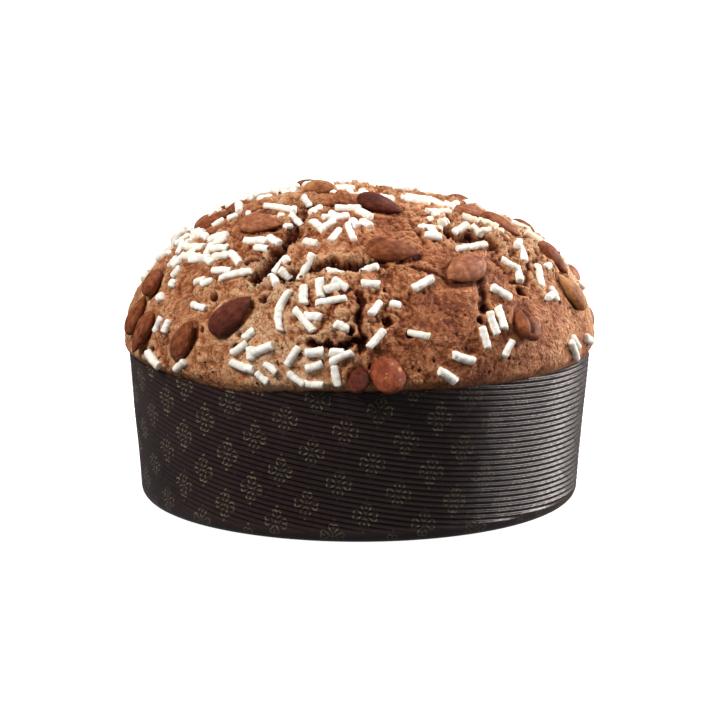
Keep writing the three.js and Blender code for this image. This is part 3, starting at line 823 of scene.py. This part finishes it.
def relief(points, ways):
    """How far the crust stands out from the plain form, and how deep in a crack each place is."""
    torn = how_torn(points, ways)
    leather = strongest(ways, SMOOTH)
    warped = points + 1.8 * np.stack([waves(points, 6, 31 + axis) for axis in range(3)], -1)
    height = 1.2 * layered(points, 22, 3, 7) + 0.5 * waves(points, 11, 9)
    height += 2.0 * torn * lumps(warped, 9.0, 11)
    height += (0.16 + 1.1 * torn) * (0.8 * lumps(warped, 4.2, 13) + 0.6 * waves(points, 3.2, 15))
    height += (0.22 + 0.7 * torn) * (0.8 * lumps(warped, 2.1, 17) + 0.6 * waves(points, 1.9, 19))
    creased = warped @ np.array([(0.8, 0, 0.5), (0, 1, 0), (-0.8, 0, 1.1)])
    height -= leather * (0.45 * lumps(creased, 3.8, 23) + 0.30 * lumps(creased, 2.0, 29))

    pit, choice = cells_near(points, 4.0, 41)
    height -= 0.9 * ease(0.25, 0.12, pit) * (choice < 0.4)
    sunk = np.zeros(len(points))
    edge = 0.34 * waves(points, 2.4, 59)
    for around, up, radius in HOLES:
        spot = dome_points(directions([around], [up]))
        away = np.linalg.norm(points - spot, axis=-1) / radius + edge
        hole = ease(1.2, 0.5, away)
        sunk = np.maximum(sunk, hole)
        height -= 1.4 * radius * hole
        height += 0.35 * bell(away - 1.5, 0.35)

    height += strongest(ways, FOLDS) * (1 + 0.30 * waves(points, 6, 37))
    height += 0.7 * on_sheet(ways) * waves(points * (0.16, 1, 1), 1.9, 131)
    chunks = lumps(warped, 3.6, 127)
    unevenness = 0.34 * waves(points, 6.5, 43) + 0.06 * waves(points, 3.0, 47)
    for width, depth, path in CRACKS + SEAMS:
        cut, lip = cut_along(points, width, path, unevenness)
        sunk = np.maximum(sunk, cut * min(1.0, depth / 5.5))
        height += 0.14 * depth * lip - depth * cut * (1 - 0.45 * chunks)

    almond = near_almonds(points)
    height *= 1 - 0.5 * ease(1.7, 1.1, almond)
    height -= 0.9 * ease(1.22, 0.95, almond)
    height += 0.6 * bell(almond - 1.42, 0.14) * (0.6 + 0.8 * waves(points, 6, 53))
    return height, sunk * (0.62 - 0.6 * chunks)


# Sugar sticks

def draws_from(seed):
    state, factor, limit = seed, 16807, 2147483647
    while True:
        state = state * factor % limit
        yield state / limit


def stick_list():
    """The single sticks and those of each drift, drawn in the same order as in the solid."""
    draw = draws_from(SEED)
    sticks = [(*spot, length) for length, spots in SINGLE_STICKS.items() for spot in spots]
    drifts = [drift + DRIFT_LENGTHS for drift in STICK_DRIFTS]
    drifts += [bits + BIT_LENGTHS for bits in SUGAR_BITS]
    for around, up, reach, count, shortest, longer in drifts:
        point, east, north, _ = (part[0] for part in dome_spots(around, up))
        for _ in range(count):
            far = reach * math.sqrt(next(draw))
            way = 2 * math.pi * next(draw)
            spot = point + east * far * math.cos(way) + north * far * math.sin(way)
            spot[2] -= CASE_HEIGHT
            turn = 180 * next(draw)
            length = shortest + longer * next(draw) ** 1.5
            spot_around = math.degrees(math.atan2(spot[0], -spot[1]))
            spot_up = math.degrees(math.asin(spot[2] / np.linalg.norm(spot)))
            sticks.append((spot_around, spot_up, turn, length))
    return sticks


def stick_places():
    """Number, middle, long axis, outward axis and length of each stick, resting on the relief."""
    around, up, turn, length = np.array(stick_list(), float).T
    points, east, north, out = dome_spots(around, up)
    turn = np.radians(turn)[:, None]
    axis = east * np.cos(turn) + north * np.sin(turn)
    tips = []
    for share in (-0.4, 0.0, 0.4):
        spots = points + axis * (share * length)[:, None]
        ways = ways_to(spots)
        height, _ = relief(dome_points(ways), ways)
        tips.append(dome_points(ways) + out * height[:, None])
    axis = unit(tips[2] - tips[0])
    middle = sum(tips) / 3 + out * STICK_RISE
    lowest = middle[:, 2] - np.abs(axis[:, 2]) * length / 2
    middle[:, 2] += np.clip(CASE_HEIGHT + 3.4 - lowest, 0, 5)
    clear = middle[:, 2] > CASE_HEIGHT + 1.2
    clear &= on_sheet(ways_to(middle)) < 0.5
    for centre, tip, _, _, almond_length in ALMONDS.values():
        core = tip * almond_length * 0.36
        room = almond_length * ALMOND_WIDTH / 2 + 0.2
        for share in (-0.4, 0.0, 0.4):
            spots = middle + axis * (share * length)[:, None]
            away, _ = off_line(spots, centre - core, centre + core)
            clear &= away > room
    drifting = np.arange(len(clear)) >= sum(map(len, SINGLE_STICKS.values()))
    for number in np.flatnonzero(clear & drifting & (length < 10))[::-1]:
        away = np.linalg.norm(middle[clear] - middle[number], axis=-1)
        clear[number] = np.partition(away, 1)[1] > STICK_SPACING
    return [part[clear] for part in (np.arange(len(clear)), middle, axis, out, length)]


def stick_mesh(number, middle, axis, out, length):
    """A slightly bent, lumpy rod with low rings round it and broken ends."""
    sides = 12
    choice = hashed(np.array([[number, key, 5] for key in range(6)]), 71)
    side = unit(np.cross(axis, out))
    upward = np.cross(side, axis)
    half = length / 2
    slide = np.linspace(-half + 0.5, half - 0.5, max(3, round(length / STICK_STEP)))
    thick = STICK_RADIUS * (0.86 + 0.26 * choice[0])
    bend = (choice[1] - 0.5) * 0.09 * length
    if number == CURVED_STICK:
        bend = -3.0
    radius = thick * (1 + 0.08 * choice[2] * np.sin(2 * np.pi * slide / STICK_RINGS + 6 * choice[3]))
    slide = np.concatenate([[-half, -half + 0.15], slide, [half - 0.15, half]])
    ends = np.array([0.62, 0.88]) * thick
    radius = np.concatenate([ends, radius, ends[::-1]])
    turn = np.linspace(0, 2 * np.pi, sides, endpoint=False) + choice[4]
    across = radius[:, None] * np.cos(turn)
    rise = 0.94 * radius[:, None] * np.sin(turn)
    slant = across * (choice[5] - 0.5) + rise * (choice[3] - 0.5)
    slant *= 0.6 * (slide / half)[:, None] ** 5
    core = middle + slide[:, None] * axis + (bend * (1 - (slide / half) ** 2))[:, None] * side
    points = core[:, None] + slant[..., None] * axis
    points = points + across[..., None] * side + rise[..., None] * upward
    points = points.reshape(-1, 3)
    uneven = 0.20 * waves(points, 2.4, 73) + 0.12 * waves(points, 1.1, 79)
    points += (points - np.repeat(core, sides, axis=0)) * uneven[:, None]
    ends = points[:sides].mean(0), points[-sides:].mean(0)
    return np.vstack([points, ends]), closed_faces(len(slide), sides)


def make_sticks(places, material):
    points, faces = joined(stick_mesh(*place) for place in zip(*places))
    amber = swell(ways_to(points), AMBER_SUGAR)
    make_piece("sugar_sticks", points, faces, "sugar", material, "bread", amber=amber)


# The rim of the case

def rim_height(around):
    """Height of the paper's edge, which dips on the left of the front and waves a little."""
    around = np.asarray(around, float)
    apart = (around - RIM_DIP_AROUND + 180) % 360 - 180
    dip = RIM_DIP * bell(apart, 13)
    ring = directions(around, np.zeros_like(around)) * RIM_RADIUS
    scallop = 0.28 * waves(ring, 7.0, 83) + 0.35 * waves(ring, 26.0, 89)
    return CASE_HEIGHT - 0.3 - dip + np.minimum(scallop, 0.3)


# Crust

CRUST_CELLS = 400
CRUMB_COUNT = 1500


def crust_grid():
    """Even cells over the dome: a square grid bent into a disc, from the top to inside the rim."""
    line = np.linspace(-1, 1, CRUST_CELLS + 1)
    u, v = every_pair(line, line)
    wide = np.abs(u) >= np.abs(v)
    radius = np.where(wide, u, v)
    other = np.where(wide, v, u)
    ratio = np.divide(other, radius, out=np.zeros_like(radius), where=radius != 0)
    around = np.where(wide, 45 * ratio, 90 - 45 * ratio)
    around = np.where(radius < 0, around + 180, around)
    ups = np.linspace(90, LOWEST_UP, 400)
    profile = dome_points(directions(np.full_like(ups, 100.0), ups))
    travelled = np.concatenate([[0], np.cumsum(np.linalg.norm(np.diff(profile, axis=0), axis=1))])
    up = np.interp(np.abs(radius) * travelled[-1], travelled, ups)
    return directions(around, up)


def grid_faces(rows, columns):
    row, column = every_pair(np.arange(rows), np.arange(columns))
    corner = row * (columns + 1) + column
    return np.stack([corner, corner + columns + 1, corner + columns + 2, corner + 1], -1)


def spread_out(values, reach):
    """The mean of each grid value's neighbours within a reach, taken twice over."""
    grid = values.reshape(CRUST_CELLS + 1, -1)
    window = 2 * reach + 1
    for axis in (0, 1, 0, 1):
        padding = [(0, 0), (0, 0)]
        padding[axis] = (reach + 1, reach)
        total = np.cumsum(np.pad(grid, padding, mode="edge"), axis=axis)
        upper = np.take(total, np.arange(window, total.shape[axis]), axis=axis)
        lower = np.take(total, np.arange(0, total.shape[axis] - window), axis=axis)
        grid = (upper - lower) / window
    return grid.ravel()


def stick_collars(points, places):
    """Glaze creeping up the sides of the sugar sticks."""
    collar = np.zeros(len(points))
    for _, middle, axis, _, length in zip(*places):
        picked = np.flatnonzero(np.abs(points - middle).max(axis=1) < length / 2 + 5)
        half = axis * max(length / 2 - 1, 0.5)
        away, _ = off_line(points[picked], middle - half, middle + half)
        collar[picked] = np.maximum(collar[picked], bell(away - 2.1, 0.9))
    return collar


def tucked(points):
    """Below the rim's edge the dough turns inwards and runs down inside the paper."""
    around = np.degrees(np.arctan2(points[:, 0], -points[:, 1]))
    over_rim = points[:, 2] - rim_height(around)
    radius = np.hypot(points[:, 0], points[:, 1])
    drawn_in = 1 - TUCK * ease(5, -2, over_rim) / np.maximum(radius, 1)
    points = points.copy()
    points[:, :2] *= drawn_in[:, None]
    return points, over_rim


def make_crust(places, material):
    ways = crust_grid()
    plain = dome_points(ways)
    faces = grid_faces(CRUST_CELLS, CRUST_CELLS)
    normals = point_normals(plain, faces)
    height, sunk = relief(plain, ways)
    collar = stick_collars(plain + normals * height[:, None], places)
    base, over_rim = tucked(plain)
    height = (height + 0.4 * collar) * (0.08 + 0.92 * ease(-1.0, 5.0, over_rim))
    points = base + normals * height[:, None]
    crumbly = how_torn(plain, ways)
    crumble = (0.10 + 0.45 * crumbly) * lumps(points, 2.8, 107)
    crumble += (0.08 + 0.22 * crumbly) * waves(points, 1.7, 109)
    crumble += 1.1 * np.clip(1.6 * sunk, 0, 1) * lumps(points, 3.1, 113)
    points += point_normals(points, faces) * (crumble * ease(0, 5, over_rim))[:, None]
    height += 0.6 * crumble

    # Painted shade in the tone: darker where the crust lies below its neighbours, near and farther
    # off, and lighter on raised lumps
    narrow = spread_out(height, 2) - height
    broad = spread_out(height, 9) - height
    tone_and_shade = 0.5 - 0.18 * np.clip(narrow / 0.35, -1, 1) - 0.15 * np.clip(broad / 1.2, -1, 1)
    tone_and_shade += 0.12 * layered(plain, 16, 3, 61) + 0.06 * collar
    red = 0.14 + 0.5 * ease(0.2, 1.4, broad) + 0.12 * waves(plain, 12, 67)
    for around, up, reach, lighter, redder in TONE_AND_HIGHLIGHT_PATCHES:
        spread = swell(ways, (around, up, around + 1, up, reach))
        tone_and_shade += 0.5 * lighter * spread
        red += redder * spread
    red += 0.45 * ease(0, 0.3, sunk)
    # Painted shade: darkest in broad hollows, between lumps, in cracks and holes, and where the crust
    # meets the paper's rim
    shade_between_lumps = 0.7 * ease(0.42, 1.2, narrow)
    shade_at_the_rim = 0.5 * ease(1.5, 0, over_rim)
    crevice_shade = [ease(0.65, 2.2, broad), shade_between_lumps, ease(0, 0.8, sunk), shade_at_the_rim]
    crevice_shade = np.max(crevice_shade, axis=0)

    normals = point_normals(points, faces)
    half = CRUST_CELLS // 2
    row = CRUST_CELLS + 1
    faces = grid_faces(half, CRUST_CELLS).tolist()
    shades = {"tone_and_shade": tone_and_shade, "red": np.clip(red, 0, 1), "crevice_shade": crevice_shade}
    for name, first in (("crust_front", half), ("crust_back", 0)):
        part = slice(first * row, (first + half + 1) * row)
        here = {title: values[part] for title, values in shades.items()}
        sheet = make_piece(name, points[part], faces, "crust", material, "bread", **here)
        sheet.data.normals_split_custom_set_from_vertices(normals[part])
    make_crumbs(points, normals, crumbly * (over_rim > 4), material)


def make_loaf(material):
    """The crumb inside the case, plain because the paper hides it."""
    sides = 96
    turn = np.linspace(0, 2 * np.pi, sides, endpoint=False)
    inside = RIM_RADIUS - 2.6
    top, bottom = CASE_HEIGHT - 6, 1.3
    levels = [(inside - 5, top), (inside - 5, top - 2), (inside - 9, 4), (inside - 13, bottom)]
    ring = np.stack([np.sin(turn), -np.cos(turn), 0 * turn], -1)
    rings = [ring * radius + (0, 0, level) for radius, level in levels]
    points = np.vstack([*rings, [[0, 0, top], [0, 0, bottom]]])
    faces = closed_faces(len(levels), sides)
    shades = {"tone_and_shade": 0.6, "red": 0.2, "crevice_shade": 0.0}
    make_piece("loaf_in_case", points, faces, "crust", material, "bread", **shades)


def make_crumbs(points, normals, torn, material):
    """Loose crumbs and flakes, most of them where the crust is torn."""
    base = np.array([(1, 1, 1), (-1, -1, 1), (-1, 1, -1), (1, -1, -1)], float)
    base = np.vstack([base, -0.8 * base]) * 0.6
    hull = [
        (0, 7, 1), (0, 1, 6), (0, 6, 2), (0, 2, 5), (0, 5, 3), (0, 3, 7),
        (4, 1, 7), (4, 6, 1), (4, 2, 6), (4, 5, 2), (4, 3, 5), (4, 7, 3),
    ]
    index = np.arange(len(points))
    chance = hashed(np.stack([index, 0 * index, 0 * index + 1], -1), 91)
    picked = np.argsort(chance / (0.001 + np.clip(torn, 0, 1.1) ** 2))[:CRUMB_COUNT]
    crumbs = []
    for place in picked:
        draw = hashed(np.array([[place, axis, 7] for axis in range(8)]), 97)
        size = 0.4 + 0.7 * draw[0] ** 2
        turn = Matrix.Rotation(6.28 * draw[1], 3, Vector(2 * draw[2:5] - 1))
        shape = base * (0.7 + 0.6 * draw[5:8]) @ np.array(turn)
        crumbs.append((points[place] + normals[place] * 0.3 * size + shape * size, hull))
    tone_and_shade = np.repeat(0.42 + 0.3 * hashed(np.stack([picked] * 3, -1), 101), 8)
    shades = {"tone_and_shade": tone_and_shade, "red": 0.3, "crevice_shade": 0.05}
    make_piece("crust_crumbs", *joined(crumbs), "crust", material, "bread", **shades)


# Paper case

def paper_reach(around, level):
    """Radius of the ribbed wall at each place, and how near to a rib's crest it is, from 0 to 1."""
    ring = np.linspace(-180, 180, 1441)
    places, slopes = np.array(RIB_SLOPES, float).T
    run_down = np.cumsum(np.interp(ring, places, slopes))
    shift = SLOPED_RIBS * RIB_PITCH * np.interp(around, ring, run_down / run_down[-1])
    crest = 0.5 + 0.5 * np.cos(2 * np.pi * (level + shift) / RIB_PITCH)
    worn = ease(30, 8, level) * ease(-30, -62, around) * ease(-130, -100, around)
    depth = RIB_DEPTH * ease(HEEL_RADIUS - 1, HEEL_RADIUS + 3, level) * (1 - 0.55 * worn)
    wall = BASE_RADIUS + (RIM_RADIUS - BASE_RADIUS) * level / CASE_HEIGHT
    return wall - depth * (1 - crest**1.4), crest


def paper_dent(around, level):
    spot = directions(around, np.zeros_like(around)) * RIM_RADIUS + np.outer(level, (0, 0, 1))
    dent = 0.35 * waves(spot, 34.0, 103) + 0.10 * waves(spot, 9.0, 107)
    return dent * ease(0, 8, level)


def paper_normals(around, level):
    """Outward directions of the wall, from its slopes up and round."""
    def reach(turned, raised):
        place = around + turned, level + raised
        return paper_reach(*place)[0] + paper_dent(*place)

    rise = (reach(0, 0.03) - reach(0, -0.03)) / 0.06
    swing = (reach(0.04, 0) - reach(-0.04, 0)) / (2 * math.radians(0.04) * RIM_RADIUS)
    angle = np.radians(around)
    out = np.stack([np.sin(angle), -np.cos(angle), -rise], -1)
    return unit(out - swing[:, None] * np.stack([np.cos(angle), np.sin(angle), 0 * angle], -1))


def make_case(material):
    """A tapered ribbed cup. Its ribs run level on the right and slope down across the left."""
    sides, levels, heel_levels = 420, 196, 8
    around = np.linspace(-180, 180, sides, endpoint=False)
    rim = rim_height(around)
    rings = []
    for turn in np.arange(heel_levels) / heel_levels * math.pi / 2:
        radius = BASE_RADIUS + 0.3 - HEEL_RADIUS * (1 - math.sin(turn))
        rings.append((radius, HEEL_RADIUS * (1 - math.cos(turn)), PLAIN_CREST))
    for share in np.linspace(0, 1, levels):
        level = HEEL_RADIUS + (rim - HEEL_RADIUS) * share
        radius, crest = paper_reach(around, level)
        rings.append((radius, level, crest))
    # The cut edge and the lining inside
    rings += [
        (RIM_RADIUS - 0.75, rim + 0.12, 0.8),
        (RIM_RADIUS - RIB_DEPTH - PAPER, rim, PLAIN_CREST),
        (BASE_RADIUS - 1.3, HEEL_RADIUS, PLAIN_CREST),
        (BASE_RADIUS - 7, PAPER_FLOOR, PLAIN_CREST),
    ]
    angle = np.radians(around)
    points, crests = [], []
    for ring in rings:
        radius, level, crest = (np.broadcast_to(value, sides) for value in ring)
        radius = radius + paper_dent(around, level)
        points.append(np.stack([np.sin(angle) * radius, -np.cos(angle) * radius, level], -1))
        crests.append(crest)
    points = np.vstack([*points, [[0, 0, 0], [0, 0, PAPER_FLOOR]]])
    crest = np.append(np.concatenate(crests), [PLAIN_CREST, PLAIN_CREST])
    faces = [face[::-1] for face in closed_faces(len(rings), sides)]
    piece = make_piece("case_paper", points, faces, "paper", material, "paper_case", crest=crest)
    wall = slice(heel_levels * sides, (heel_levels + levels) * sides)
    normals = np.zeros(len(points) * 3)
    piece.data.vertices.foreach_get("normal", normals)
    normals = normals.reshape(-1, 3)
    normals[wall] = paper_normals(np.tile(around, levels), points[wall, 2])
    piece.data.normals_split_custom_set_from_vertices(normals)
    lay_print(piece.data, points, (len(rings) - 1) * sides)


def lay_print(mesh, points, quads):
    """Coordinates for the print, in millimetres along the wall and up it."""
    corners = np.zeros(len(mesh.loops), int)
    mesh.loops.foreach_get("vertex_index", corners)
    along = np.degrees(np.arctan2(points[:, 0], -points[:, 1]))[corners]
    of_quads = along[: quads * 4].reshape(-1, 4)
    wraps = np.ptp(of_quads, axis=1) > 180
    of_quads[wraps[:, None] & (of_quads > 90)] -= 360
    flat = np.stack([np.radians(along) * PRINT_RADIUS, points[corners, 2]], -1)
    layer = mesh.uv_layers.new(name="wall")
    layer.data.foreach_set("uv", flat.ravel().astype(np.float32))


# Camera, floor and light

def make_camera():
    target = Vector((0.45, 0.0, 63.15)) * MM
    distance, elevation = 1.2, math.radians(10.884)
    camera = add_object("camera", bpy.data.cameras.new("camera"))
    camera.data.sensor_width = 36
    camera.data.lens = 125.07
    camera.location = target + Vector((0, -math.cos(elevation), math.sin(elevation))) * distance
    camera.rotation_euler = (math.pi / 2 - elevation, 0, 0)
    bpy.context.scene.camera = camera


def make_floor():
    half = 12.0
    mesh = bpy.data.meshes.new("floor")
    square = [(-half, -half, 0), (half, -half, 0), (half, half, 0), (-half, half, 0)]
    mesh.from_pydata(square, [], [range(4)])
    paint = Paint("floor_white")
    paint.finish(
        Base_Color=(0.5, 0.5, 0.5, 1),
        Roughness=0.9,
        Specular_IOR_Level=0.0,
        Emission_Color=(1, 1, 1, 1),
        Emission_Strength=1.0,
    )
    mesh.materials.append(paint.material)
    floor = add_object("floor", mesh)
    floor.location.z = -0.0002
    floor.visible_diffuse = False
    floor.visible_glossy = False


def make_light(name, place, target, size, power, colour):
    data = bpy.data.lights.new(name, "AREA")
    data.shape = "RECTANGLE"
    data.size, data.size_y = size
    data.energy = power
    data.color = colour
    light = add_object(name, data)
    light.location = place
    light.rotation_euler = (Vector(target) - Vector(place)).to_track_quat("-Z", "Y").to_euler()
    return light


def make_lights():
    world = bpy.data.worlds.new("studio")
    world.use_nodes = True
    background = world.node_tree.nodes["Background"]
    background.inputs["Color"].default_value = (1, 1, 1, 1)
    background.inputs["Strength"].default_value = 0.17
    bpy.context.scene.world = world
    middle = (0, 0, 0.09)
    warm = (1.0, 0.97, 0.94)
    make_light("top", (0.45, 0.20, 1.05), middle, (0.45, 0.45), 6, warm)
    make_light("right", (1.05, 0.25, 0.42), middle, (1.3, 0.35), 20, (1.0, 0.94, 0.91))
    left = make_light("left", (-0.66, -0.66, 0.95), middle, (0.4, 0.4), 16.5, warm)
    left.visible_glossy = False


make_camera()
make_floor()
make_lights()

crust_material = crust_paint()
stick_spots = stick_places()
make_crust(stick_spots, crust_material)
make_loaf(crust_material)
make_sticks(stick_spots, sugar_paint())
make_case(case_paint())
make_almonds()

bpy.context.scene.view_settings.view_transform = "Standard"
